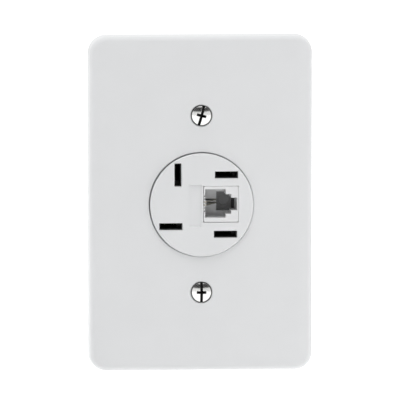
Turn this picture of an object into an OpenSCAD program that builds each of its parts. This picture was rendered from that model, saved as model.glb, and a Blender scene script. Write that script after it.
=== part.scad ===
// Telephone wall socket for a 4 x 2 inch wall box: a moulded wall plate with a round socket face
// that has four flat blade slots and a six position modular jack.
// Pieces are drawn lying on their backs: x to the right, y up the wall, z out of the wall, with
// z = 0 at the wall. wall_frame() stands them up, so the face looks towards -Y and +Z is up.

/* [Wall plate] */
// Width of the wall plate
plate_w = 76.2; // [72:0.1:90]
// Height of the wall plate
plate_h = 114.3; // [104:0.1:130]
// Distance from the wall to the front of the plate
plate_t = 6.6; // [6:0.1:9]
// Thickness of the plate's face and of its rim
plate_wall = 2; // [1.6:0.1:2.4]
// Radius of the plate's corners, seen from the front
corner_r = 6.2; // [5:0.1:10]
// Radius of the rolled front edge
edge_r = 2.2; // [1.5:0.1:3]
// Slope, in degrees, of the face where it falls into the rolled edge
fall_angle = 9; // [4:1:14]
// How far the rim leans in between the wall and the rolled edge
rim_lean = 0.4; // [0.1:0.1:0.8]
// Thickness of the ribs, collar and bosses behind the face
rib_t = 1.3; // [1:0.1:1.6]
// Height of the cross ribs behind the face
rib_h = 2.2; // [1.5:0.1:2.6]

/* [Socket face] */
// Diameter of the round socket face
face_d = 35; // [34.8:0.1:37]
// How far the socket face lies to the right of the plate's centre
face_x = 0.08; // [-0.1:0.02:0.1]
// How far the socket face lies above the plate's centre
face_y = -0.26; // [-0.3:0.02:0.1]
// How far the socket face stands proud of the plate
face_proud = 0.9; // [0.3:0.1:2]
// Gap between the socket face and the plate, where the two are in line
face_gap = 0.2; // [0.2:0.05:0.5]
// How far the plate's round hole lies to the right of the socket face
hole_x = -0.12; // [-0.12:0.02:0.12]
// How far the plate's round hole lies above the socket face
hole_y = 0.12; // [-0.12:0.02:0.12]
// Radius of the edge of the socket face
face_edge_r = 0.6; // [0.3:0.1:0.8]
// Thickness of the socket face
face_wall = 2; // [1.5:0.1:2.5]
// Thickness of the round wall behind the socket face
boss_wall = 0.6; // [0.5:0.05:0.65]
// Width of the shallow label field on the face
label_w = 4.2; // [3:0.1:4.4]
// Height of the label field
label_h = 14.5; // [8:0.1:15]
// Distance of the label field's centre to the right of the face's centre
label_x = -2.15; // [-4:0.05:-2.15]
// Height of the label field's centre above the face's centre
label_y = -0.4; // [-1:0.05:1]
// Depth of the label field
label_depth = 0.2; // [0.1:0.05:0.4]
// How far the field's upper and lower edges slope in
label_slope = 0.3; // [0.1:0.05:0.5]

/* [Blade slots] */
// Length of each blade slot
slot_l = 7.9; // [7:0.1:8]
// Width of each blade slot
slot_w = 2.4; // [2.2:0.1:2.6]
// Upper left slot, which stands upright: distance of its centre to the right of the face's centre
upper_left_x = -8; // [-8.2:0.05:-7.5]
// Upper left slot: height of its centre
upper_left_y = 9.95; // [9.8:0.05:10.1]
// Upper right slot: distance of its centre to the right
upper_right_x = 8.45; // [8.2:0.05:8.6]
// Upper right slot: height of its centre
upper_right_y = 9.9; // [9.8:0.05:10]
// Lower left slot: distance of its centre to the right
lower_left_x = -10.4; // [-10.5:0.05:-9.5]
// Lower left slot: height of its centre
lower_left_y = -7.55; // [-7.7:0.05:-7.2]
// Lower right slot: distance of its centre to the right
lower_right_x = 8.1; // [8:0.05:8.4]
// Lower right slot: height of its centre
lower_right_y = -10.25; // [-10.4:0.05:-9.8]
// Thickness of the guide's wall round each slot, measured from the face's slot
slot_wall = 1.1; // [0.9:0.1:1.2]
// How much smaller than the face's slot the guide's slot is, on each side
guide_inset = 0.3; // [0.25:0.05:0.4]
// Thickness of the guide's round base
guide_base_t = 1.5; // [1:0.1:2]

/* [Modular jack] */
// Distance of the jack's centre to the right of the face's centre
jack_x = 6.6; // [6.5:0.05:6.9]
// Width of the jack across the face
jack_w = 11.7; // [11.6:0.1:12]
// Height of the jack up the face
jack_h = 12.1; // [12:0.1:12.2]
// Depth of the jack from its mouth to its back
jack_depth = 13.5; // [12.8:0.1:14]
// Radius of the jack's corners
jack_corner_r = 0.5; // [0.3:0.1:0.6]
// Thickness of the lip that the contact wires fold over
jack_lip = 0.45; // [0.45:0.05:0.55]
// Thickness of the jack's wall beyond the second latch step
latch_wall = 0.4; // [0.3:0.05:0.6]
// Height of the plug bay up the face
bay_h = 9.7; // [9.5:0.1:9.8]
// How far the plug bay's middle lies above the jack's
bay_rise = 0.2; // [0:0.05:0.3]
// Depth of the plug bay down to the comb
bay_depth = 9.3; // [9:0.1:10]
// Reach of the first latch step
latch_reach_1 = 1.85; // [1.7:0.05:1.9]
// Height of the first latch step
latch_h_1 = 6.7; // [6.4:0.1:6.9]
// Reach of the second latch step
latch_reach_2 = 2; // [1.8:0.05:2.05]
// Height of the second latch step
latch_h_2 = 4.3; // [3.8:0.1:4.4]
// How far the latch steps lie below the middle of the plug bay
latch_drop = 0.2; // [0:0.05:0.3]
// Reach of the comb, which guides the ends of the contact wires
comb_w = 4.5; // [4.4:0.05:5]
// Height above the bay's middle of the upper edge of the window beside the comb
window_top = 3.25; // [3:0.05:4]
// Height below the bay's middle of the lower edge of the window
window_drop = 3.15; // [2.4:0.05:3.3]
// Depth of the notches in the lip
notch_depth = 3; // [2:0.1:4]
// Diameter of the jack's contact wires
wire_d = 0.46; // [0.42:0.02:0.46]
// Pitch of the jack's contact wires
wire_pitch = 1.02; // [1:0.01:1.06]
// Slope of the contact wires in the bay, in degrees from the jack's axis
wire_slope = 25; // [22:0.5:26]

/* [Mounting strap] */
// Thickness of the steel strap
strap_t = 1; // [0.8:0.1:1.2]
// Gap between the strap's ends and the inside of the plate's rim
strap_end_gap = 3.65; // [1:0.05:6]
// Width of the strap's ends
strap_end_w = 20; // [16:0.5:24]
// Width of the middle of the strap
strap_mid_w = 45; // [44.5:0.1:48]
// Height of the middle of the strap
strap_mid_h = 50; // [49.5:0.1:53]
// Distance from each end of the strap to the centre of its slot for a wall box screw
box_slot_in = 9.85; // [6:0.05:12]
// Width of the slots for the wall box screws
box_slot_w = 4.2; // [3.8:0.1:5]
// Length of the slots for the wall box screws
box_slot_l = 8.4; // [7:0.1:10]

/* [Plate screws] */
// Distance between the two plate screws
plate_screw_pitch = 60; // [58:0.1:64]
// Diameter of a plate screw's thread
plate_screw_d = 3.5; // [3:0.1:4]
// Diameter of a plate screw's head
plate_head_d = 7.1; // [6.6:0.1:7.6]
// Height of the domed top of a plate screw's head
plate_head_dome = 1; // [0.6:0.1:1.4]
// Length of a plate screw behind the strap
plate_screw_past = 5; // [3:0.5:8]

/* [Socket body] */
// Width of the flanges of the body
flange_w = 43; // [42.5:0.1:44]
// Height of the flanges of the body
flange_h = 48; // [47.5:0.1:49]
// Thickness of the front moulding's flange
front_flange_t = 2.4; // [2:0.1:3]
// Thickness of the back moulding's flange
back_flange_t = 2.6; // [2:0.1:3]
// Depth of the back moulding
back_depth = 13; // [12.6:0.1:16]
// Width of the deep part of the back moulding
back_w = 31; // [30.6:0.1:31.4]
// Distance of the rivets and pegs from the body's centre, across
rivet_x = 18.5; // [18.3:0.1:18.8]
// Distance of the rivets and pegs from the body's centre, up and down
rivet_y = 20.6; // [20:0.1:20.8]
// Diameter of a rivet's shank
rivet_d = 3; // [2.6:0.1:3.2]
// Diameter of a rivet's head
rivet_head_d = 5.2; // [4.8:0.1:5.4]
// Diameter of a locating peg
peg_d = 2.6; // [2:0.1:3]

/* [Contacts and terminals] */
// Thickness of the brass contact strip
strip_t = 0.6; // [0.5:0.05:0.7]
// Width of the contact's gripping leaves
leaf_w = 4.8; // [4.2:0.1:4.9]
// Gap that the leaves leave for a blade
leaf_gap = 1.4; // [1.1:0.1:1.6]
// Width of the tail that joins the contact to its terminal
tail_w = 3; // [2.6:0.1:3.2]
// Distance from a contact to its terminal screw
terminal_reach = 7.5; // [7.2:0.1:7.8]
// Width of a terminal
terminal_w = 7; // [6.6:0.1:7.2]
// Diameter of a terminal screw's thread
terminal_screw_d = 3; // [2.6:0.1:3.2]
// Diameter of a terminal screw's head
terminal_head_d = 5.6; // [5.2:0.1:6]
// Height of a terminal screw's head
terminal_head_t = 1.8; // [1.4:0.1:2.2]
// Length of a terminal screw under its head
terminal_screw_l = 6; // [5:0.5:7]
// Thickness of a wire clamp
clamp_t = 0.8; // [0.6:0.1:1]
// Width of a terminal's well in the back moulding
well_w = 8.4; // [8:0.1:8.8]

/* [Leads] */
// Diameter of a lead over its insulation
lead_d = 0.96; // [0.9:0.02:0.98]
// Diameter of a lead's copper
core_d = 0.4; // [0.3:0.05:0.5]
// Radius of the bend behind the jack, at the middle of the lead
lead_bend_r = 2; // [1.6:0.1:2.1]
// Radius of the bend in front of a terminal
lead_sweep_r = 4; // [3:0.5:5]
// Angle between a lead and its terminal's direction, in degrees
lead_angle = 35; // [33:1:42]

/* [Hidden] */
$fn = 64;

// Running clearances
cut = 1;           // how far a cutting shape runs past what it cuts
fit = 0.1;         // between a moulding and the piece that slides into it
snug = 0.03;       // between a screw or rivet and its hole
seat = 0.02;       // between two pieces that rest on each other
lap = 0.06;        // how far a straight rod runs into a bend
bend_swell = 0.03; // how much thicker a bend is than the straight rods that run into it

// Colours
shell_white = [0.87, 0.87, 0.88];
black_moulding = [0.09, 0.09, 0.1];
zinc = [0.72, 0.73, 0.75];
nickel = [0.8, 0.8, 0.79];
brass = [0.8, 0.65, 0.33];
gold_wire = [0.85, 0.7, 0.36];
copper = [0.78, 0.46, 0.28];

// Levels, measured out from the wall
strap_back = 0.2;
strap_front = strap_back + strap_t;
strap_h = plate_h - 2 * (plate_wall + strap_end_gap);
box_pitch = strap_h - 2 * box_slot_in;
face_top = plate_t + face_proud;
front_flange_bottom = strap_back - front_flange_t;
back_flange_bottom = front_flange_bottom - back_flange_t;
back_bottom = front_flange_bottom - back_depth;
rib_end = strap_back + 0.4;
face_back = face_top - face_wall;

// The stack on a terminal: strip, wire gap, clamp, screw head and a little depth to spare
wire_gap = core_d + 0.05;
well_spare = 0.35;
well_depth = strip_t + wire_gap + clamp_t + terminal_head_t + well_spare;
well_floor = back_bottom + well_depth;
floor_t = 1.2;
chamber_floor = well_floor + floor_t;
tab_back = well_floor - strip_t;
clamp_front = tab_back - wire_gap;
clamp_back = clamp_front - clamp_t;

// The contacts' chambers, across the strip and along it
leaf_spread = 1.6;
chamber_room = 0.3;
chamber = [leaf_w + 2 * chamber_room, 2 * leaf_spread + strip_t + 2 * chamber_room];

// Each contact: its slot's centre, whether the slot stands upright, and which way the terminal lies
slots = [
    [[upper_left_x, upper_left_y], true, 1],
    [[upper_right_x, upper_right_y], false, 1],
    [[lower_left_x, lower_left_y], false, -1],
    [[lower_right_x, lower_right_y], false, -1]
];
rivet_at = [rivet_x, rivet_y];

// The jack's own edges, and the opening that it sits in, a little towards its upper right
jack_left = jack_x - jack_w / 2;
jack_right = jack_x + jack_w / 2;
jack_back = face_top - jack_depth;
jack_gap_near = 0.08;
jack_gap_far = 0.18;
bay_left = jack_left + jack_lip;
latch_end = jack_right - latch_wall;
latch_step = latch_end - latch_reach_2;
bay_right = latch_step - latch_reach_1;
bay_floor = face_top - bay_depth;
window_left = bay_left + comb_w;
lug_w = 0.8;
lug_t = 1.2;
cap_t = 1.4;
collar_wall = 1;

// The contact wires: they run up the jack's side in shallow grooves and hook over the lip
groove_w = wire_d + 0.1;
groove_depth = jack_lip - 0.25;
wire_run_x = jack_left + groove_depth - seat - wire_d / 2;
wire_side_x = wire_run_x - wire_d / 2 - 0.05;
wire_top_sink = 0.5;
hook_r = wire_d / 2 + 0.22;
hook_z = face_top - wire_top_sink - hook_r - wire_d / 2;

// The leads leave the jack side by side with its wires, and turn twice on their way to a terminal
lead_x = wire_run_x + wire_d / 2 + core_d / 2 + seat;
wire_tail = 1.8;        // how far a wire reaches behind the cap
core_beside_wire = 1.4; // how far a lead's core runs up beside the wire
core_beside_screw = 0.45;
core_past_screw = 1.5;
jacket_short = 0.5;     // from the end of a lead's jacket to its terminal
wire_bottom = jack_back - cap_t - wire_tail;
lead_top = wire_bottom + core_beside_wire;
lead_run_z = tab_back - core_d / 2 - seat;
lead_room = lead_d * 0.7;
lead_slots = [slots[1], slots[3]];

// Points along an arc, from one angle to another
function arc(centre, r, from, to, steps) = [
    for (i = [0 : steps])
        let (a = from + (to - from) * i / steps)
            centre + r * [cos(a), sin(a)]
];

function unit(v) = v / norm(v);

function left_of(v) = [-v.y, v.x];

// Where a folded strip's edge passes each point of its middle line, half a thickness to one side
function edge_of(path, half) = [
    for (i = [0 : len(path) - 1])
        let (
            before = unit(path[max(i, 1)] - path[max(i, 1) - 1]),
            after = unit(path[min(i, len(path) - 2) + 1] - path[min(i, len(path) - 2)]),
            side = left_of(before) + left_of(after)
        )
            path[i] + side * half / (1 + before * after)
];

function reversed(list) = [for (i = [len(list) - 1 : -1 : 0]) list[i]];

// The section of a folded strip of thickness t, given the middle line of its folds
module folded_strip(path, t) {
    polygon(concat(edge_of(path, t / 2), reversed(edge_of(path, -t / 2))));
}

// Stands a piece that was drawn lying on its back up against the wall
module wall_frame() {
    rotate([90, 0, 0]) children();
}

// A prism of its children's outline between two levels
module between(low, high) {
    translate([0, 0, low]) linear_extrude(high - low) children();
}

module rounded(size, r) {
    w = size.x / 2 - r;
    h = size.y / 2 - r;
    square([size.x, 2 * h], center = true);
    square([2 * w, size.y], center = true);
    for (x = [-w, w], y = [-h, h])
        translate([x, y]) circle(r);
}

// A section in the y-z plane, drawn as (y, z), made w wide about x = 0
module across(w) {
    rotate([90, 0, 90]) translate([0, 0, -w / 2]) linear_extrude(w) children();
}

// Carries a section round the rim of the plate. The section starts at the corners' centres.
module round_the_rim() {
    w = plate_w / 2 - corner_r;
    h = plate_h / 2 - corner_r;
    for (corner = [[w, h, 0], [-w, h, 90], [-w, -h, 180], [w, -h, 270]])
        translate([corner.x, corner.y]) rotate(corner.z)
            rotate_extrude(angle = 90) children();
    for (side = [0, 180]) {
        rotate(side) translate([w, h]) rotate([90, 0, 0])
            linear_extrude(2 * h) children();
        rotate(side) translate([-w, h]) rotate([90, 0, 90])
            linear_extrude(2 * w) children();
    }
}

// The plate's section from a corner's centre out to the rim: a face that falls away gently,
// a rolled edge and a leaning rim
module rim_section() {
    roll_x = corner_r - rim_lean - edge_r;
    fall_w = roll_x + edge_r * sin(fall_angle);
    fall_drop = fall_w * tan(fall_angle) / 2;
    roll_z = plate_t - fall_drop - edge_r * cos(fall_angle);
    fall_steps = 6;
    polygon(concat(
        [[0, 0], [corner_r, 0]],
        arc([roll_x, roll_z], edge_r, 0, 90 - fall_angle, 10),
        [
            for (i = [fall_steps - 1 : -1 : 0])
                let (u = i / fall_steps)
                    [fall_w * u, plate_t - fall_drop * u * u]
        ]
    ));
}

function plate_screw_places() = [[0, plate_screw_pitch / 2], [0, -plate_screw_pitch / 2]];

plate_hole_r = face_d / 2 + face_gap;
face_at = [face_x, face_y];
plate_hole_at = face_at + [hole_x, hole_y];
head_rim_t = 0.3;
head_sink = 0.15;
head_under = plate_t - head_sink - head_rim_t;
head_cone_t = (plate_head_d - plate_screw_d) / 2;

module wall_plate() {
    inside = [plate_w - 2 * plate_wall, plate_h - 2 * plate_wall];
    inside_r = corner_r - plate_wall;
    plate_back = plate_t - plate_wall;
    foot = strap_front + 0.3;
    color(shell_white) difference() {
        union() {
            difference() {
                union() {
                    round_the_rim() rim_section();
                    between(0, plate_t)
                        square([plate_w, plate_h] - 2 * [corner_r, corner_r], center = true);
                }
                between(-cut, plate_back) rounded(inside, inside_r);
            }
            // Collar round the socket face
            translate(plate_hole_at) between(foot, plate_t - plate_wall / 2)
                circle(plate_hole_r + rib_t);
            // Bosses that bear on the strap under the plate screws
            for (p = plate_screw_places())
                translate(p) between(foot, plate_t - plate_wall / 2)
                    circle(plate_head_d / 2 + rib_t);
            // Cross ribs, from rim to rim
            for (y = [-1, 1] * (strap_mid_h / 2 + rib_t))
                translate([0, y]) between(plate_back - rib_h, plate_t - plate_wall / 2)
                    square([plate_w - plate_wall, rib_t], center = true);
        }
        translate(plate_hole_at) between(-cut, plate_t + cut) circle(plate_hole_r);
        translate(concat(plate_hole_at, [plate_t - 0.3]))
            cylinder(h = 0.6, r1 = plate_hole_r, r2 = plate_hole_r + 0.6);
        for (p = plate_screw_places()) translate(p) screw_seat();
    }
}

// Clearance hole, countersink and shallow counterbore for a plate screw
module screw_seat() {
    hole_r = plate_screw_d / 2 + 0.3;
    rim_r = plate_head_d / 2 + snug;
    cone = rim_r - hole_r;
    between(-cut, plate_t + cut) circle(hole_r);
    translate([0, 0, head_under - seat - cone]) cylinder(h = cone, r1 = hole_r, r2 = rim_r);
    between(head_under - seat, plate_t + cut) circle(plate_head_d / 2 + 0.2);
}

// Countersunk screw with a domed head that takes a cross or a flat driver
module plate_screw(y, turn) {
    r = plate_head_d / 2;
    rim_top = head_under + head_rim_t;
    dome_r = (r * r + plate_head_dome * plate_head_dome) / (2 * plate_head_dome);
    tip = strap_back - plate_screw_past;
    tip_chamfer = 0.6;
    neck = head_under - head_cone_t;
    shank_r = plate_screw_d / 2;
    color(nickel) translate([0, y]) rotate(turn) difference() {
        union() {
            between(tip + tip_chamfer, neck) circle(shank_r);
            translate([0, 0, tip])
                cylinder(h = tip_chamfer, r1 = shank_r - tip_chamfer, r2 = shank_r);
            translate([0, 0, neck]) cylinder(h = head_cone_t, r1 = shank_r, r2 = r);
            intersection() {
                between(head_under, rim_top + plate_head_dome) circle(r);
                translate([0, 0, rim_top + plate_head_dome - dome_r]) sphere(dome_r);
            }
        }
        cross_recess(rim_top + plate_head_dome, 2.4, 3.8, 0.9);
        between(rim_top - 0.3, rim_top + plate_head_dome + cut)
            square([0.9, plate_head_d + cut], center = true);
    }
}

// Tapered cross recess that narrows from the mouth down
module cross_recess(mouth, depth, width, wing_t) {
    intersection() {
        between(mouth - depth, mouth + cut) {
            square([width, wing_t], center = true);
            square([wing_t, width], center = true);
        }
        translate([0, 0, mouth - depth])
            cylinder(h = depth + cut, r1 = wing_t / 2, r2 = width * 0.62);
    }
}

function rivet_places() = [[-rivet_at.x, rivet_at.y], [rivet_at.x, -rivet_at.y]];

function peg_places() = [rivet_at, -rivet_at];

module mounting_strap() {
    collar_t = 1.2;
    end_r = 4;
    tap_r = plate_screw_d / 2 + snug;
    color(zinc) difference() {
        union() {
            between(strap_back, strap_front) {
                rounded([strap_mid_w, strap_mid_h], end_r);
                rounded([strap_end_w, strap_h], end_r);
            }
            // Drawn collars that give the plate screws' threads their length
            for (p = plate_screw_places())
                translate(p) between(strap_back - collar_t, strap_front)
                    circle(plate_screw_d / 2 + 0.8);
        }
        translate(face_at) between(strap_back - cut, strap_front + cut)
            circle(face_d / 2 + face_gap / 2);
        for (p = plate_screw_places())
            translate(p) between(strap_back - collar_t - cut, strap_front + cut) circle(tap_r);
        for (y = [-1, 1] * box_pitch / 2)
            translate([0, y]) between(strap_back - cut, strap_front + cut)
                rounded([box_slot_l, box_slot_w], box_slot_w / 2 - 0.01);
        for (p = rivet_places())
            translate(p) between(strap_back - cut, strap_front + cut)
                circle(rivet_d / 2 + snug);
    }
}

module slot_outline(slot, grow) {
    size = [slot_l, slot_w] + 2 * [grow, grow];
    translate(slot[0]) rotate(slot[1] ? 90 : 0) square(size, center = true);
}

// The opening for the jack, with a wall of the given thickness added round it
module jack_opening(grow) {
    near = jack_gap_near + grow;
    far = jack_gap_far + grow;
    translate([jack_left - far, -jack_h / 2 - far])
        square([jack_w + near + far, jack_h + near + far]);
}

// Room for the two contact wires beside the jack
module wire_room() {
    for (side = [-1, 1])
        translate([wire_side_x, bay_rise + side * wire_pitch / 2 - groove_w / 2])
            square([jack_left - wire_side_x, groove_w]);
}

// The label field's section: flat, with sloping upper and lower edges
module label_section() {
    half = label_h / 2;
    floor_half = half - label_slope;
    floor_z = face_top - label_depth;
    polygon([
        [-half, face_top + cut], [-half, face_top], [-floor_half, floor_z],
        [floor_half, floor_z], [half, face_top], [half, face_top + cut]
    ]);
}

module front_housing() {
    r = face_d / 2;
    color(shell_white) difference() {
        union() {
            difference() {
                union() {
                    translate(face_at) rotate_extrude() polygon(concat(
                        [[0, front_flange_bottom], [r, front_flange_bottom]],
                        arc([r - face_edge_r, face_top - face_edge_r], face_edge_r, 0, 90, 6),
                        [[0, face_top]]
                    ));
                    between(front_flange_bottom, strap_back) rounded([flange_w, flange_h], 3);
                }
                translate(face_at) between(front_flange_bottom - cut, face_back)
                    circle(r - boss_wall);
            }
            // A rib across the hollow, and the collar that the jack sits in
            between(rib_end, face_top - face_wall / 2)
                translate([boss_wall / 2 - r, -rib_t / 2])
                    square([r + jack_left - jack_gap_far - (boss_wall + collar_wall) / 2, rib_t]);
            between(front_flange_bottom, face_top - face_wall / 2) jack_opening(collar_wall);
        }
        for (slot = slots) between(face_back - cut, face_top + cut) slot_outline(slot, 0);
        between(front_flange_bottom - cut, face_top + cut) jack_opening(0);
        between(front_flange_bottom - cut, face_top - wire_top_sink) wire_room();
        translate([label_x, label_y]) across(label_w) label_section();
        for (p = rivet_places())
            translate(p) between(front_flange_bottom - cut, strap_back + cut)
                circle(rivet_d / 2 + snug);
        for (p = peg_places())
            translate(p) between(front_flange_bottom - cut, strap_back + cut)
                circle(peg_d / 2 + snug);
    }
}

// Dark guide under the socket face: a round base with a tube up to the back of each slot
module blade_guide() {
    guide_r = face_d / 2 - boss_wall - fit;
    guide_bottom = front_flange_bottom + seat;
    guide_top = face_back - fit;
    color(black_moulding) difference() {
        union() {
            translate(face_at) between(guide_bottom, guide_bottom + guide_base_t) circle(guide_r);
            intersection() {
                translate(face_at) between(guide_bottom, guide_top) circle(guide_r);
                for (slot = slots) between(guide_bottom, guide_top) slot_outline(slot, slot_wall);
            }
        }
        between(guide_bottom - cut, guide_top + cut) jack_opening(collar_wall + fit);
        for (slot = slots)
            between(guide_bottom - cut, guide_top + cut) slot_outline(slot, -guide_inset);
    }
}

// A lead's line seen from the front, with y measured towards its terminal: down the first leg,
// round the sweep, and out beside the terminal screw to its end
function lead_start(slot) = [lead_x, wire_pitch / 2 + slot[2] * bay_rise];

function lead_heading() = 90 - lead_angle;

function lead_end(slot) = [
    slot[0].x - (terminal_screw_d + core_d) / 2 - core_beside_screw,
    slot[2] * slot[0].y + terminal_reach + core_past_screw
];

function lead_leg(slot) =
    (lead_end(slot).x - lead_start(slot).x - lead_sweep_r * (1 - cos(lead_angle))) / sin(lead_angle);

function lead_corner(slot) =
    lead_start(slot) + lead_leg(slot) * [cos(lead_heading()), sin(lead_heading())];

function sweep_centre(slot) =
    lead_corner(slot) + lead_sweep_r * [-cos(lead_angle), sin(lead_angle)];

function lead_path(slot) = concat(
    [lead_start(slot)],
    arc(sweep_centre(slot), lead_sweep_r, -lead_angle, 0, 6),
    [lead_end(slot)]
);

module back_housing() {
    pocket_bottom = jack_back - cap_t - 0.8;
    pocket_inset = [rib_t, rib_t];
    core_wall = 1.8;
    core_left = core_wall - back_w / 2;
    core_right = jack_left - jack_gap_far - lug_w - core_wall;
    core_bottom = lower_left_y + chamber.y / 2 + core_wall;
    core_top = upper_left_y - chamber.x / 2 - core_wall;
    color(black_moulding) difference() {
        union() {
            between(back_flange_bottom, front_flange_bottom) rounded([flange_w, flange_h], 3);
            between(back_bottom, front_flange_bottom) rounded([back_w, flange_h - 1], 1.5);
            for (p = peg_places())
                translate(p) between(back_flange_bottom, strap_back - 0.2) circle(peg_d / 2);
        }
        for (slot = slots) {
            // Chamber for the gripping leaves, open to the front
            between(chamber_floor, front_flange_bottom + cut)
                translate(slot[0]) rotate(slot[1] ? 90 : 0) square(chamber, center = true);
            // Slot for the tail
            between(well_floor - cut, chamber_floor + cut)
                translate(slot[0]) square([tail_w + 0.3, strip_t + 0.3], center = true);
            // Well for the terminal, open to the back and to the end of the body
            between(back_bottom - cut, well_floor)
                translate(slot[0] + slot[2] * [0, flange_h / 2 - 1.2])
                    square([well_w, flange_h], center = true);
            // Blind hole for the screw's end
            translate(slot[0] + slot[2] * [0, terminal_reach])
                between(well_floor - cut, well_floor + terminal_screw_l)
                    circle(terminal_screw_d / 2 + 0.2);
        }
        // Stepped pocket that holds the jack from behind
        between(jack_back - seat, front_flange_bottom + cut) jack_opening(0);
        between(front_flange_bottom - lug_t - seat, front_flange_bottom + cut)
            translate([lug_w, 0]) jack_opening(0);
        between(front_flange_bottom - lug_t - seat, front_flange_bottom + cut)
            translate([-lug_w, 0]) jack_opening(0);
        between(pocket_bottom, front_flange_bottom) translate([jack_x, 0])
            square([jack_w, jack_h] - 2 * pocket_inset, center = true);
        // Shaft for the wires and the leads beside the pocket
        between(back_bottom - cut, front_flange_bottom + cut)
            translate([wire_side_x, bay_rise - wire_pitch / 2 - lead_room])
                square([lead_x + lead_room - wire_side_x, wire_pitch + 2 * lead_room]);
        // Grooves that take the leads out to two of the terminals, deeper and wider at the bends
        for (slot = lead_slots) scale_y(slot[2]) {
            between(back_bottom - cut, lead_run_z + lead_room)
                folded_strip(lead_path(slot), 2 * lead_room);
            translate(lead_start(slot)) rotate(lead_heading())
                between(back_bottom - cut, lead_run_z + lead_bend_r + lead_room)
                    translate([0, -lead_room - fit])
                        square([lead_bend_r + lead_room, 2 * (lead_room + fit)]);
        }
        // Cored out beside the jack, between the two left-hand chambers
        between(chamber_floor, front_flange_bottom + cut)
            translate([core_left, core_bottom])
                square([core_right - core_left, core_top - core_bottom]);
        for (p = rivet_places())
            translate(p) between(back_flange_bottom - cut, front_flange_bottom + cut)
                circle(rivet_d / 2 + snug);
    }
}

// Rivet through the strap and both mouldings, with a domed head in front and a rolled end behind
module rivet(place) {
    head_t = 0.8;
    r = rivet_d / 2;
    head_r = rivet_head_d / 2;
    shell_r = (head_r * head_r + head_t * head_t) / (2 * head_t);
    color(nickel) translate(place) difference() {
        union() {
            between(back_flange_bottom - 0.1, strap_front + 0.1) circle(r);
            intersection() {
                between(strap_front, strap_front + head_t) circle(head_r);
                translate([0, 0, strap_front + head_t - shell_r]) sphere(shell_r);
            }
            translate([0, 0, back_flange_bottom - 0.7])
                cylinder(h = 0.7, r1 = head_r - 0.9, r2 = head_r - 0.3);
        }
        // Hollow end
        translate([0, 0, back_flange_bottom - 0.7 - cut]) cylinder(h = cut + 2.4, r = r - 0.55);
    }
}

// A folded brass strip: two leaves that grip the blade, a web, and a tail that becomes the terminal
module contact(slot) {
    web = chamber_floor + strip_t / 2;
    mouth = front_flange_bottom - 0.2;
    pinch = mouth - 2.6;
    grip = (leaf_gap + strip_t) / 2;
    tab_mid = well_floor - strip_t / 2;
    tab_end = terminal_reach + terminal_w / 2;
    color(brass) translate(slot[0]) {
        rotate(slot[1] ? 90 : 0) across(leaf_w)
            folded_strip([
                [-leaf_spread + 0.15, mouth], [-grip, pinch], [-leaf_spread, web],
                [leaf_spread, web], [grip, pinch], [leaf_spread - 0.15, mouth]
            ], strip_t);
        scale_y(slot[2]) difference() {
            union() {
                across(tail_w)
                    folded_strip([[0, web], [0, tab_mid], [tab_end - 1, tab_mid]], strip_t);
                between(tab_back, well_floor) polygon([
                    [-terminal_w / 2, terminal_reach - terminal_w / 2],
                    [terminal_w / 2, terminal_reach - terminal_w / 2],
                    [terminal_w / 2, tab_end - 1], [terminal_w / 2 - 1, tab_end],
                    [1 - terminal_w / 2, tab_end], [-terminal_w / 2, tab_end - 1]
                ]);
            }
            translate([0, terminal_reach]) between(tab_back - cut, well_floor + cut)
                circle(terminal_screw_d / 2 + snug);
        }
    }
}

// Turns a piece that reaches up the wall into one that reaches down it
module scale_y(way) {
    if (way > 0) children();
    else mirror([0, 1, 0]) children();
}

// Pan head screw with a cross recess and a flat slot, driven from behind
module terminal_screw(slot) {
    r = terminal_head_d / 2;
    soft = 0.5;
    color(nickel) translate(slot[0] + slot[2] * [0, terminal_reach]) mirror([0, 0, 1])
        translate([0, 0, -clamp_back]) difference() {
            union() {
                rotate_extrude() polygon(concat(
                    [[0, 0], [r, 0]],
                    arc([r - soft, terminal_head_t - soft], soft, 0, 90, 5),
                    [[0, terminal_head_t]]
                ));
                between(-terminal_screw_l, 0) circle(terminal_screw_d / 2);
            }
            cross_recess(terminal_head_t, 1.4, 2.8, 0.7);
            between(terminal_head_t - 0.7, terminal_head_t + cut)
                rotate(slot[2] * 25) square([terminal_head_d + cut, 0.7], center = true);
        }
}

// Square clamp washer with two turned edges that stand on the terminal
module wire_clamp(slot) {
    half = terminal_w / 2 - 0.3;
    color(zinc) translate(slot[0] + slot[2] * [0, terminal_reach]) difference() {
        union() {
            between(clamp_back, clamp_front)
                square([2 * half, terminal_w - 0.6], center = true);
            for (side = [-1, 1])
                translate([side * (half - clamp_t / 2), 0]) between(clamp_back, tab_back)
                    square([clamp_t, terminal_w - 0.6], center = true);
        }
        between(clamp_back - cut, tab_back + cut) circle(terminal_screw_d / 2 + snug);
    }
}

// The bay that takes the plug, with the two steps for its latch
module bay_outline() {
    for (step = [
        [bay_right, bay_h, bay_rise],
        [latch_step, latch_h_1, bay_rise - latch_drop],
        [latch_end, latch_h_2, bay_rise - latch_drop]
    ])
        translate([bay_left, step.z - step.y / 2]) square([step.x - bay_left, step.y]);
}

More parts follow.
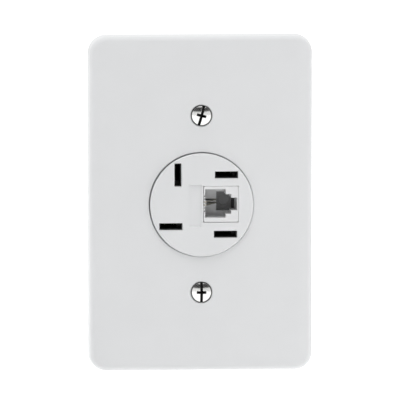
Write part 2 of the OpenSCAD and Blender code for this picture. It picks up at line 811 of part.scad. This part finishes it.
module jack_housing() {
    color(shell_white) difference() {
        union() {
            between(jack_back, face_top)
                translate([jack_x, 0]) rounded([jack_w, jack_h], jack_corner_r);
            between(front_flange_bottom - lug_t, front_flange_bottom - seat)
                translate([jack_x, 0]) square([jack_w + 2 * lug_w, jack_h - 1], center = true);
        }
        between(bay_floor, face_top + cut) bay_outline();
        // Window beside the comb
        between(jack_back - cut, bay_floor + cut) translate([window_left, bay_rise - window_drop])
            square([latch_end - window_left, window_top + window_drop]);
        // Notches in the lip for six wires
        for (i = [-2.5 : 1 : 2.5])
            between(face_top - notch_depth, face_top + cut)
                translate([jack_left - cut, bay_rise + i * wire_pitch - groove_w / 2])
                    square([jack_lip + 2 * cut, groove_w]);
        for (side = [-1, 1]) translate([0, bay_rise + side * wire_pitch / 2 - groove_w / 2]) {
            // Groove down the jack's side for a wire
            between(jack_back - cut, face_top + cut) translate([jack_left - lug_w - cut, 0])
                square([lug_w + cut + groove_depth, groove_w]);
            // Slot through the comb for the wire's end
            between(jack_back - cut, bay_floor + cut) translate([bay_left + 0.8, 0])
                square([comb_w, groove_w]);
        }
    }
}

// Dark cap behind the jack, with an ejector mark that shows through the window
module jack_back_cap() {
    mark_r = 1.8;
    inset = [rib_t + fit, rib_t + fit];
    color(black_moulding) difference() {
        between(jack_back - cap_t, jack_back - seat)
            translate([jack_x, 0]) square([jack_w, jack_h] - 2 * inset, center = true);
        between(jack_back - 0.3, jack_back + cut)
            translate([window_left + mark_r + 1, bay_rise + (window_top - window_drop) / 2])
                circle(mark_r);
    }
}

// Spring wire: up the outside of the lip, over it, and back down into the bay. The hook is a hair
// thicker than the straights, which end inside it.
module jack_wire(side) {
    hook_d = wire_d + bend_swell;
    hook_out = hook_r * [cos(wire_slope), sin(wire_slope)];
    rake_l = (hook_z + hook_out.y - bay_floor + 0.4) / cos(wire_slope);
    color(gold_wire) translate([wire_run_x, bay_rise + side * wire_pitch / 2]) {
        between(wire_bottom, hook_z + lap) circle(wire_d / 2);
        translate([hook_r, 0, hook_z]) rotate([90, 0, 0]) rotate([0, 0, wire_slope])
            rotate_extrude(angle = 180 - wire_slope) translate([hook_r, 0]) circle(hook_d / 2);
        translate([hook_r + hook_out.x, 0, hook_z + hook_out.y])
            rotate([0, 180 - wire_slope, 0]) translate([0, 0, -lap])
                cylinder(h = rake_l + lap, d = wire_d);
    }
}

// A lead's line as a round rod of diameter d: down from the jack, a quarter bend, out along the
// leg, round the sweep and straight on to the distance end_y. The bends are a hair thicker than
// the straights, which end inside them.
module lead_rod(slot, d, start_z, end_y) {
    bend_z = lead_run_z + lead_bend_r;
    sweep_end = sweep_centre(slot) + [lead_sweep_r, 0];
    bend_d = d + bend_swell;
    scale_y(slot[2]) {
        translate(lead_start(slot)) rotate(lead_heading()) {
            between(bend_z - lap, start_z) circle(d / 2);
            translate([lead_bend_r, 0, bend_z]) rotate([90, 0, 0]) rotate([0, 0, 180])
                rotate_extrude(angle = 90) translate([lead_bend_r, 0]) circle(bend_d / 2);
            translate([lead_bend_r - lap, 0, lead_run_z]) rotate([0, 90, 0])
                cylinder(h = lead_leg(slot) - lead_bend_r + 2 * lap, d = d);
        }
        translate(concat(sweep_centre(slot), [lead_run_z])) rotate([0, 0, -lead_angle])
            rotate_extrude(angle = lead_angle) translate([lead_sweep_r, 0]) circle(bend_d / 2);
        translate(concat(sweep_end - [0, lap], [lead_run_z])) rotate([-90, 0, 0])
            cylinder(h = end_y - sweep_end.y + lap, d = d);
    }
}

module lead(slot, shade) {
    jacket_end = slot[2] * slot[0].y + terminal_reach - terminal_w / 2 - jacket_short;
    color(shade) difference() {
        lead_rod(slot, lead_d, wire_bottom, jacket_end);
        lead_rod(slot, core_d + 2 * seat, lead_top, lead_end(slot).y + cut);
    }
}

module lead_core(slot) {
    color(copper) lead_rod(slot, core_d, lead_top, lead_end(slot).y);
}

wall_frame() wall_plate();
wall_frame() plate_screw(plate_screw_pitch / 2, -15);  // plate_screw_upper
wall_frame() plate_screw(-plate_screw_pitch / 2, 0);  // plate_screw_lower
wall_frame() mounting_strap();
wall_frame() front_housing();
wall_frame() blade_guide();
wall_frame() back_housing();
wall_frame() rivet(rivet_places()[0]);  // rivet_left
wall_frame() rivet(rivet_places()[1]);  // rivet_right
wall_frame() contact(slots[0]);  // contact_upper_left
wall_frame() contact(slots[1]);  // contact_upper_right
wall_frame() contact(slots[2]);  // contact_lower_left
wall_frame() contact(slots[3]);  // contact_lower_right
wall_frame() terminal_screw(slots[0]);  // terminal_screw_upper_left
wall_frame() terminal_screw(slots[1]);  // terminal_screw_upper_right
wall_frame() terminal_screw(slots[2]);  // terminal_screw_lower_left
wall_frame() terminal_screw(slots[3]);  // terminal_screw_lower_right
wall_frame() wire_clamp(slots[0]);  // wire_clamp_upper_left
wall_frame() wire_clamp(slots[1]);  // wire_clamp_upper_right
wall_frame() wire_clamp(slots[2]);  // wire_clamp_lower_left
wall_frame() wire_clamp(slots[3]);  // wire_clamp_lower_right
wall_frame() jack_housing();
wall_frame() jack_back_cap();
wall_frame() jack_wire(1);  // jack_wire_upper
wall_frame() jack_wire(-1);  // jack_wire_lower
wall_frame() lead(slots[1], "firebrick");  // lead_upper
wall_frame() lead(slots[3], "seagreen");  // lead_lower
wall_frame() lead_core(slots[1]);  // lead_core_upper
wall_frame() lead_core(slots[3]);  // lead_core_lower
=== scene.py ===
import math

import bmesh
import bpy
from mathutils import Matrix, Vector


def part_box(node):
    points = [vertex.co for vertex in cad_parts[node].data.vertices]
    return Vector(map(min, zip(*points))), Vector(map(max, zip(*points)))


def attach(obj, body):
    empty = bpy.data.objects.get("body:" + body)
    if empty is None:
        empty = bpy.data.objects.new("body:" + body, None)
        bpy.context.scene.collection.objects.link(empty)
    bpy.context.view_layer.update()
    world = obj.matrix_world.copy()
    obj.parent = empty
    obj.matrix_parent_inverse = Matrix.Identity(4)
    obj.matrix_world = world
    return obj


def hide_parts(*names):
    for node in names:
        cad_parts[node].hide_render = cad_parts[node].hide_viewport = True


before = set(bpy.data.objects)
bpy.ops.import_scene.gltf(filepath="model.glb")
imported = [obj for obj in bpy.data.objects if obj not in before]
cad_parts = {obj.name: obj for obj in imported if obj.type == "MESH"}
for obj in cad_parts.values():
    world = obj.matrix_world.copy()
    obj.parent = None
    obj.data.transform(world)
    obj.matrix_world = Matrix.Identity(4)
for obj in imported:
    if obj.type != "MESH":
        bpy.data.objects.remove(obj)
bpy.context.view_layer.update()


# Lengths are in metres: mm(x) is x millimetres
def mm(length):
    return length / 1000.0


PLATE_LOW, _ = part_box("wall_plate")
FACE_LOW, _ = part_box("front_housing")
CORNERS = ("upper_left", "upper_right", "lower_left", "lower_right")

# The camera stands a little to the left and above, far off with a long lens
CAMERA_AZIMUTH = -4.5
CAMERA_ELEVATION = 5.3
CAMERA_DISTANCE = 2.0
CAMERA_AIM = Vector((mm(0.03), 0.0, mm(0.76)))
CLIP_START = CAMERA_DISTANCE * 0.1
CLIP_END = CAMERA_DISTANCE * 20.0
FRAME_WIDTH = mm(135.67)
# The sensor's width alone is in millimetres, as Blender has it
SENSOR_WIDTH = 36.0

# The floor lies this far under the plate, which hangs at its own place on the wall
FLOOR_DROP = mm(60.0)
FLOOR_SIZE = 12.0


# Materials

# A noise's values lie mostly between these
NOISE_LOW = 0.3
NOISE_HIGH = 0.7

# Moulded plastic: how wide its flow clouds, its orange peel and its grain are, how high the last
# two stand, and how far the peel takes the roughness down and up
FLOW_CLOUDS = mm(17.0)
ORANGE_PEEL = mm(1.3)
MOULD_GRAIN = mm(0.16)
PEEL_HEIGHT = mm(0.0016)
MOULD_GRAIN_HEIGHT = PEEL_HEIGHT * 0.12
PEEL_SMOOTHER = 0.04
PEEL_ROUGHER = 0.05
PLASTIC_IOR = 1.5

# Metal: how wide its clouds and scratches are, how high the scratches stand, by which shares they
# take the roughness down and up, and how much of the tarnish goes to the bright side
PLATING_CLOUDS = mm(3.3)
SCRATCH_WIDTH = mm(0.35)
SCRATCH_HEIGHT = mm(0.004)
SCRATCH_SMOOTHER = 0.75
SCRATCH_ROUGHER = 1.35
TARNISH_BRIGHT = 0.4

# Painted shade on metal, dark and dull deep in its recesses: over which depths it starts and ends,
# and the share of the shine it leaves
RECESS_SHADE_EDGE = mm(0.12)
RECESS_SHADE_FADE = mm(1.0)
RECESS_SHADE_SHINE = 0.02

# Insulation: how wide its clouds and grain are, how high the grain stands, and how far the clouds
# take its colour and roughness
WIRE_CLOUDS = mm(2.5)
WIRE_GRAIN = mm(0.12)
WIRE_GRAIN_HEIGHT = mm(0.006)
WIRE_DARKER = -0.14
WIRE_LIGHTER = 0.1
WIRE_SMOOTH = 0.36
WIRE_ROUGH = 0.5


def new_material(name):
    """A material with only a Principled shader and its output. Gives it, its tree and shader."""
    material = bpy.data.materials.new(name)
    material.use_nodes = True
    tree = material.node_tree
    tree.nodes.clear()
    output = tree.nodes.new("ShaderNodeOutputMaterial")
    shader = tree.nodes.new("ShaderNodeBsdfPrincipled")
    tree.links.new(shader.outputs["BSDF"], output.inputs["Surface"])
    return material, tree, shader


def object_position(tree, stretch=(1.0, 1.0, 1.0)):
    """The place on the object, stretched so that a pattern can run along one axis."""
    place = tree.nodes.new("ShaderNodeTexCoord")
    mapping = tree.nodes.new("ShaderNodeMapping")
    mapping.inputs["Scale"].default_value = stretch
    tree.links.new(place.outputs["Object"], mapping.inputs["Vector"])
    return mapping.outputs["Vector"]


def grain(tree, position, size, detail=2.0, roughness=0.55):
    """Noise whose features are about size metres across."""
    noise = tree.nodes.new("ShaderNodeTexNoise")
    noise.inputs["Scale"].default_value = 1.0 / size
    noise.inputs["Detail"].default_value = detail
    noise.inputs["Roughness"].default_value = roughness
    tree.links.new(position, noise.inputs["Vector"])
    return noise.outputs["Fac"]


def ramp_value(tree, factor, low, high, start=NOISE_LOW, end=NOISE_HIGH):
    """A number that goes from low to high as the factor goes from start to end."""
    spread = tree.nodes.new("ShaderNodeMapRange")
    spread.inputs["From Min"].default_value = start
    spread.inputs["From Max"].default_value = end
    spread.inputs["To Min"].default_value = low
    spread.inputs["To Max"].default_value = high
    tree.links.new(factor, spread.inputs["Value"])
    return spread.outputs["Result"]


def ramp_colour(tree, factor, low, high):
    """A colour that goes from low to high as a noise does."""
    ramp = tree.nodes.new("ShaderNodeValToRGB")
    ramp.color_ramp.elements[0].position = NOISE_LOW
    ramp.color_ramp.elements[0].color = (*low, 1.0)
    ramp.color_ramp.elements[1].position = NOISE_HIGH
    ramp.color_ramp.elements[1].color = (*high, 1.0)
    tree.links.new(factor, ramp.inputs["Fac"])
    return ramp.outputs["Color"]


def combine(tree, operation, first, second):
    """One number made of two, by a Math node."""
    node = tree.nodes.new("ShaderNodeMath")
    node.operation = operation
    tree.links.new(first, node.inputs[0])
    tree.links.new(second, node.inputs[1])
    return node.outputs[0]


def bump(tree, shader, heights, strength):
    """Stacks bumps: each is a factor and its height in metres."""
    normal = None
    for factor, height in heights:
        node = tree.nodes.new("ShaderNodeBump")
        node.inputs["Strength"].default_value = strength
        node.inputs["Distance"].default_value = height
        tree.links.new(factor, node.inputs["Height"])
        if normal is not None:
            tree.links.new(normal, node.inputs["Normal"])
        normal = node.outputs["Normal"]
    tree.links.new(normal, shader.inputs["Normal"])


def shade(colour, amount):
    """The colour made lighter or darker by a share."""
    return tuple(max(0.0, min(1.0, channel * (1.0 + amount))) for channel in colour)


def moulded_plastic(name, colour, roughness, mottle=0.012):
    """Injection-moulded plastic: faint mottling from the flow, orange peel, a satin gloss."""
    material, tree, shader = new_material(name)
    position = object_position(tree)
    cloud = grain(tree, position, FLOW_CLOUDS)
    peel = grain(tree, position, ORANGE_PEEL)
    fine = grain(tree, position, MOULD_GRAIN)
    tree.links.new(ramp_colour(tree, cloud, shade(colour, -mottle), shade(colour, mottle)),
                   shader.inputs["Base Color"])
    tree.links.new(ramp_value(tree, peel, roughness - PEEL_SMOOTHER, roughness + PEEL_ROUGHER),
                   shader.inputs["Roughness"])
    shader.inputs["IOR"].default_value = PLASTIC_IOR
    bump(tree, shader, [(peel, PEEL_HEIGHT), (fine, MOULD_GRAIN_HEIGHT)], strength=0.5)
    return material


def painted_recess_shade(tree, shader, finish, recess_shade):
    """Painted shade in the recesses: between two places along the wall's depth the metal is painted
    dark and dull. Gives the finish darkened, and makes the shader's metal and shine follow."""
    front, back = recess_shade
    axes = tree.nodes.new("ShaderNodeSeparateXYZ")
    tree.links.new(object_position(tree), axes.inputs["Vector"])
    before = ramp_value(tree, axes.outputs["Y"], 1.0, RECESS_SHADE_SHINE, front, front + RECESS_SHADE_EDGE)
    behind = ramp_value(tree, axes.outputs["Y"], RECESS_SHADE_SHINE, 1.0, back - RECESS_SHADE_FADE, back)
    unshaded = combine(tree, "MAXIMUM", before, behind)
    darkened = tree.nodes.new("ShaderNodeVectorMath")
    darkened.operation = "SCALE"
    tree.links.new(finish, darkened.inputs["Vector"])
    tree.links.new(unshaded, darkened.inputs["Scale"])
    tree.links.new(unshaded, shader.inputs["Metallic"])
    tree.links.new(unshaded, shader.inputs["Specular IOR Level"])
    return darkened.outputs["Vector"]


def plated_metal(name, colour, roughness, scratch=(1.0, 1.0, 1.0), tarnish=0.1, recess_shade=None):
    """Plated or drawn metal: cloudy brightness, fine scratches along one way, a little tarnish,
    and painted shade where the piece's recesses lie."""
    material, tree, shader = new_material(name)
    cloud = grain(tree, object_position(tree), PLATING_CLOUDS, detail=3.0)
    lines = grain(tree, object_position(tree, scratch), SCRATCH_WIDTH, detail=4.0, roughness=0.65)
    finish = ramp_colour(tree, cloud, shade(colour, -tarnish),
                         shade(colour, tarnish * TARNISH_BRIGHT))
    if recess_shade is None:
        shader.inputs["Metallic"].default_value = 1.0
    else:
        # painted shade: the metal is darkened and dulled between two depths, deep in the recesses
        finish = painted_recess_shade(tree, shader, finish, recess_shade)
    tree.links.new(finish, shader.inputs["Base Color"])
    tree.links.new(ramp_value(tree, lines, roughness * SCRATCH_SMOOTHER,
                              roughness * SCRATCH_ROUGHER), shader.inputs["Roughness"])
    bump(tree, shader, [(lines, SCRATCH_HEIGHT)], strength=0.4)
    return material


def drawn_insulation(name, colour):
    """Soft insulation drawn over a wire: satin, with faint clouds and a fine grain."""
    material, tree, shader = new_material(name)
    position = object_position(tree)
    cloud = grain(tree, position, WIRE_CLOUDS)
    fine = grain(tree, position, WIRE_GRAIN)
    tree.links.new(ramp_colour(tree, cloud, shade(colour, WIRE_DARKER),
                               shade(colour, WIRE_LIGHTER)), shader.inputs["Base Color"])
    tree.links.new(ramp_value(tree, cloud, WIRE_SMOOTH, WIRE_ROUGH), shader.inputs["Roughness"])
    bump(tree, shader, [(fine, WIRE_GRAIN_HEIGHT)], strength=0.4)
    return material


# Shapes: copies of the CAD nodes, with what is too fine for the solids

# How near two corners count as one, and how flat faces count as one face
WELD = mm(0.002)
FLAT_ANGLE = math.radians(0.3)
# Faces that meet at less than this look like one curved surface
SMOOTH_ANGLE = math.radians(30.0)
# Edges sharper than this are rounded
HARD_ANGLE = math.radians(40.0)

# A plate screw's thread: its pitch, the radius of its core and crest, where it starts behind the
# head, how far before the point it ends, half the width of its ridge at the foot and at the
# crest, how deep the ridge sits in the core, and the steps of a turn
THREAD_PITCH = mm(0.79)
THREAD_CORE = mm(1.36)
THREAD_CREST = mm(1.75)
THREAD_START = mm(-3.4)
THREAD_END_GAP = mm(0.55)
THREAD_HALF_FOOT = THREAD_PITCH * 0.45
THREAD_HALF_CREST = THREAD_PITCH * 0.06
THREAD_SEAT = mm(0.05)
THREAD_STEPS = 32

# The label field's middle and half width, and how far its floor lies behind the face in the CAD
# mesh. Here the floor is cut deeper and its ends steeper, so that the recess shows
LABEL_MIDDLE = Vector((mm(-2.15), 0.0, mm(-0.4)))
LABEL_HALF_WIDTH = mm(2.1)
LABEL_DEPTH = mm(0.2)
LABEL_DEEPER = mm(0.2)
LABEL_STEEPER = mm(0.12)
LABEL_MARGIN = mm(0.02)


def solid_copy(node):
    """A closed mesh with the CAD node's shape, its doubles merged and its flat faces whole."""
    mesh = bmesh.new()
    mesh.from_mesh(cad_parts[node].data)
    bmesh.ops.remove_doubles(mesh, verts=mesh.verts, dist=WELD)
    bmesh.ops.dissolve_limit(mesh, angle_limit=FLAT_ANGLE, verts=mesh.verts, edges=mesh.edges)
    return mesh


def finished(mesh, name):
    """Makes an object of a bmesh: smooth where faces meet at a shallow angle, sharp elsewhere."""
    data = bpy.data.meshes.new(name)
    mesh.to_mesh(data)
    mesh.free()
    data.shade_smooth()
    data.set_sharp_from_angle(angle=SMOOTH_ANGLE)
    piece = bpy.data.objects.new(name, data)
    bpy.context.collection.objects.link(piece)
    return piece


def soften(piece, width, segments):
    """Rounds a piece's hard edges with a live bevel, and keeps its flat faces flat."""
    bevel = piece.modifiers.new("soft_edges", "BEVEL")
    bevel.width = width
    bevel.segments = segments
    bevel.limit_method = "ANGLE"
    bevel.angle_limit = HARD_ANGLE
    bevel.profile = 0.5
    bevel.use_clamp_overlap = True
    even = piece.modifiers.new("flat_faces_stay_flat", "WEIGHTED_NORMAL")
    even.keep_sharp = True
    even.weight = 100


def dress(piece, node, material):
    """The piece stands for the node, rides its body and takes its finish."""
    piece.data.materials.clear()
    piece.data.materials.append(material)
    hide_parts(node)
    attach(piece, "root")


def cut_thread(mesh):
    """Turns a plain shank down to the thread's core and winds a ridge round it, as far out as
    the shank was. The screw's axis runs along y, through the middle of its round head."""
    low = Vector([min(vert.co[i] for vert in mesh.verts) for i in range(3)])
    high = Vector([max(vert.co[i] for vert in mesh.verts) for i in range(3)])
    axis = Vector(((low.x + high.x) / 2, 0.0, (low.z + high.z) / 2))
    for vert in mesh.verts:
        out = Vector((vert.co.x - axis.x, 0.0, vert.co.z - axis.z))
        if vert.co.y > THREAD_START and out.length > THREAD_CORE:
            vert.co += out.normalized() * (THREAD_CORE - out.length)
    end = high.y - THREAD_END_GAP
    turns = int((end - THREAD_START) / THREAD_PITCH)
    start = axis + Vector((0.0, end - turns * THREAD_PITCH, 0.0))
    root = THREAD_CORE - THREAD_SEAT
    profile = [
        mesh.verts.new(start + Vector((reach, along, 0.0)))
        for reach, along in ((root, -THREAD_HALF_FOOT), (THREAD_CREST, -THREAD_HALF_CREST),
                             (THREAD_CREST, THREAD_HALF_CREST), (root, THREAD_HALF_FOOT))
    ]
    rim = mesh.faces.new(profile)
    bmesh.ops.spin(mesh, geom=[rim], cent=start, axis=(0.0, 1.0, 0.0), angle=-math.tau * turns,
                   steps=THREAD_STEPS * turns, dvec=(0.0, THREAD_PITCH / THREAD_STEPS, 0.0),
                   use_duplicate=False)
    bmesh.ops.recalc_face_normals(mesh, faces=mesh.faces)


def deepen_label(mesh):
    """Moves the corners of the label field's floor back, and its upper and lower ends apart."""
    for vert in mesh.verts:
        place = vert.co - LABEL_MIDDLE
        on_floor = abs(place.y - FACE_LOW.y - LABEL_DEPTH) < LABEL_MARGIN
        if on_floor and abs(place.x) < LABEL_HALF_WIDTH + LABEL_MARGIN:
            vert.co.y += LABEL_DEEPER
            vert.co.z += math.copysign(LABEL_STEEPER, place.z)


def softened(node, material, width, segments=2, shaping=None):
    """A CAD node's finished copy. Shaping is work done on its mesh before its edges are rounded."""
    mesh = solid_copy(node)
    if shaping is not None:
        shaping(mesh)
    piece = finished(mesh, node + "_finished")
    soften(piece, width, segments)
    dress(piece, node, material)


def paint(node, material):
    """Gives a CAD node that keeps its own mesh its material."""
    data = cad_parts[node].data
    data.materials.clear()
    data.materials.append(material)


# Colours, as linear red, green and blue
WHITE = (0.70, 0.707, 0.715)
JACK_WHITE = (0.71, 0.714, 0.72)
BLACK = (0.022, 0.022, 0.024)
CAP_GREY = (0.3, 0.3, 0.305)
NICKEL = (0.74, 0.74, 0.73)
ZINC = (0.6, 0.615, 0.63)
BRASS = (0.78, 0.58, 0.26)
PALE_GOLD = (0.62, 0.59, 0.52)
COPPER = (0.83, 0.44, 0.27)
RED = (0.5, 0.028, 0.022)
GREEN = (0.018, 0.22, 0.065)

# Where painted shade darkens the metal, from front to back: round a plate screw's rim and in its
# recesses, and on the brass behind the slots
SCREW_RECESS_SHADE = (mm(-6.67), mm(-3.8))
BRASS_RECESS_SHADE = (mm(-10.0), mm(11.4))

white_plate = moulded_plastic("white_plate", WHITE, 0.34)
white_housing = moulded_plastic("white_housing", WHITE, 0.36)
white_jack = moulded_plastic("white_jack", JACK_WHITE, 0.4)
black_moulding = moulded_plastic("black_moulding", BLACK, 0.42, mottle=0.1)
cap_grey = moulded_plastic("cap_grey", CAP_GREY, 0.45, mottle=0.05)
nickel_screw = plated_metal("nickel_screw", NICKEL, 0.16, recess_shade=SCREW_RECESS_SHADE)
nickel_rivet = plated_metal("nickel_rivet", NICKEL, 0.2)
zinc_strap = plated_metal("zinc_strap", ZINC, 0.34, scratch=(1.0, 1.0, 0.06), tarnish=0.14)
brass_strip = plated_metal("brass_strip", BRASS, 0.24, scratch=(1.0, 1.0, 0.1), tarnish=0.12,
                           recess_shade=BRASS_RECESS_SHADE)
terminal_nickel = plated_metal("terminal_nickel", shade(NICKEL, -0.06), 0.24)
zinc_clamp = plated_metal("zinc_clamp", shade(ZINC, -0.03), 0.36, tarnish=0.14)
gold_wire = plated_metal("gold_wire", PALE_GOLD, 0.36)
copper_core = plated_metal("copper_core", COPPER, 0.3)
red_insulation = drawn_insulation("red_insulation", RED)
green_insulation = drawn_insulation("green_insulation", GREEN)

softened("wall_plate", white_plate, mm(0.14), segments=3)
softened("front_housing", white_housing, mm(0.1), shaping=deepen_label)
softened("jack_housing", white_jack, mm(0.07))
softened("blade_guide", black_moulding, mm(0.1))
softened("back_housing", black_moulding, mm(0.14))
softened("jack_back_cap", cap_grey, mm(0.08))
softened("mounting_strap", zinc_strap, mm(0.12))
for side in ("left", "right"):
    softened("rivet_" + side, nickel_rivet, mm(0.08))
for side in ("upper", "lower"):
    softened("plate_screw_" + side, nickel_screw, mm(0.06), shaping=cut_thread)
    paint("jack_wire_" + side, gold_wire)
    paint("lead_core_" + side, copper_core)
paint("lead_upper", red_insulation)
paint("lead_lower", green_insulation)
for corner in CORNERS:
    softened("contact_" + corner, brass_strip, mm(0.06))
    softened("terminal_screw_" + corner, terminal_nickel, mm(0.08))
    softened("wire_clamp_" + corner, zinc_clamp, mm(0.1))


# The studio

# The band that is dark in a gloss lies where all three hold. Each is an axis of the direction
# that is seen, where along it the darkening starts and where it is full
DARK_BAND = (("Z", 0.28, 0.34), ("Z", 0.74, 0.68), ("Y", -0.25, -0.35))
# The share of its light that the band keeps
DARK_BAND_LIGHT = 0.06
FLOOR_COLOUR = (0.8, 0.8, 0.8, 1.0)


def seen_rays(tree):
    """1 for rays that show a background: from the camera, in a gloss or through something clear."""
    path = tree.nodes.new("ShaderNodeLightPath")
    seen = path.outputs["Is Camera Ray"]
    for name in ("Is Glossy Ray", "Is Transmission Ray"):
        seen = combine(tree, "MAXIMUM", seen, path.outputs[name])
    return seen


def make_world(front, side):
    """White where it is seen. Elsewhere a soft light, weaker from the front than from the sides.
    In a gloss a dark band lies above the camera, as where a studio's white screens leave a gap."""
    world = bpy.data.worlds.new("studio")
    bpy.context.scene.world = world
    world.use_nodes = True
    tree = world.node_tree
    background = tree.nodes["Background"]
    background.inputs["Color"].default_value = (1.0, 1.0, 1.0, 1.0)
    place = tree.nodes.new("ShaderNodeTexCoord")
    axes = tree.nodes.new("ShaderNodeSeparateXYZ")
    tree.links.new(place.outputs["Generated"], axes.inputs["Vector"])
    ambient = ramp_value(tree, axes.outputs["Y"], front, side, start=-1.0, end=0.0)
    band = tree.nodes.new("ShaderNodeLightPath").outputs["Is Glossy Ray"]
    for axis, start, end in DARK_BAND:
        inside = ramp_value(tree, axes.outputs[axis], 0.0, 1.0, start, end)
        band = combine(tree, "MULTIPLY", band, inside)
    seen_light = ramp_value(tree, band, 1.0, DARK_BAND_LIGHT, start=0.0, end=1.0)
    strength = tree.nodes.new("ShaderNodeMapRange")
    tree.links.new(ambient, strength.inputs["To Min"])
    tree.links.new(seen_light, strength.inputs["To Max"])
    tree.links.new(seen_rays(tree), strength.inputs["Value"])
    tree.links.new(strength.outputs["Result"], background.inputs["Strength"])


def make_floor(glow, bounce):
    """A pale floor that renders white where it is lit, and keeps the object's shadow. Bounce is
    the light that it adds to the object from below."""
    mesh = bmesh.new()
    bmesh.ops.create_grid(mesh, x_segments=1, y_segments=1, size=FLOOR_SIZE / 2)
    bmesh.ops.translate(mesh, verts=mesh.verts, vec=(0.0, 0.0, PLATE_LOW.z - FLOOR_DROP))
    floor = finished(mesh, "floor")
    material = bpy.data.materials.new("floor_white")
    material.use_nodes = True
    tree = material.node_tree
    tree.nodes.clear()
    output = tree.nodes.new("ShaderNodeOutputMaterial")
    matt = tree.nodes.new("ShaderNodeBsdfDiffuse")
    matt.inputs["Color"].default_value = FLOOR_COLOUR
    glowing = tree.nodes.new("ShaderNodeEmission")
    strength = ramp_value(tree, seen_rays(tree), bounce, glow, start=0.0, end=1.0)
    tree.links.new(strength, glowing.inputs["Strength"])
    both = tree.nodes.new("ShaderNodeAddShader")
    tree.links.new(matt.outputs[0], both.inputs[0])
    tree.links.new(glowing.outputs[0], both.inputs[1])
    tree.links.new(both.outputs[0], output.inputs["Surface"])
    floor.data.materials.append(material)


def aim(thing, target):
    """Turns a lamp or camera to look at a point."""
    thing.rotation_mode = "QUATERNION"
    thing.rotation_quaternion = (target - thing.location).to_track_quat("-Z", "Y")


def direction(azimuth, elevation):
    """Unit vector from the object towards a stand: azimuth 0 is straight in front."""
    a = math.radians(azimuth)
    e = math.radians(elevation)
    return Vector((math.sin(a) * math.cos(e), -math.cos(a) * math.cos(e), math.sin(e)))


def soft_lamp(name, azimuth, elevation, distance, size, brightness):
    """A square soft box. Brightness is how bright it alone makes a white face turned to it."""
    data = bpy.data.lights.new(name, "AREA")
    data.shape = "SQUARE"
    data.size = size
    # The lamp's power over pi and the distance squared falls on the face, which shows a pi-th of it
    data.energy = brightness * math.pi * distance * distance * math.pi
    lamp = bpy.data.objects.new(name, data)
    bpy.context.collection.objects.link(lamp)
    lamp.location = direction(azimuth, elevation) * distance
    lamp.visible_glossy = False
    aim(lamp, Vector((0.0, 0.0, 0.0)))


def make_camera():
    """The photo's camera, as far as the photo shows where it stood."""
    data = bpy.data.cameras.new("camera")
    data.sensor_width = SENSOR_WIDTH
    data.lens = SENSOR_WIDTH * CAMERA_DISTANCE / FRAME_WIDTH
    camera = bpy.data.objects.new("camera", data)
    bpy.context.collection.objects.link(camera)
    camera.location = CAMERA_AIM + direction(CAMERA_AZIMUTH, CAMERA_ELEVATION) * CAMERA_DISTANCE
    aim(camera, CAMERA_AIM)
    data.clip_start = CLIP_START
    data.clip_end = CLIP_END
    bpy.context.scene.camera = camera


make_world(front=0.05, side=0.74)
make_floor(glow=0.55, bounce=0.28)
soft_lamp("upper_box", azimuth=-14.0, elevation=74.0, distance=4.0, size=2.0, brightness=0.66)
soft_lamp("left_box", azimuth=-80.0, elevation=0.0, distance=1.5, size=1.0, brightness=0.16)
soft_lamp("right_box", azimuth=66.0, elevation=-18.0, distance=0.42, size=0.28, brightness=0.44)
make_camera()
bpy.context.scene.view_settings.view_transform = "Standard"
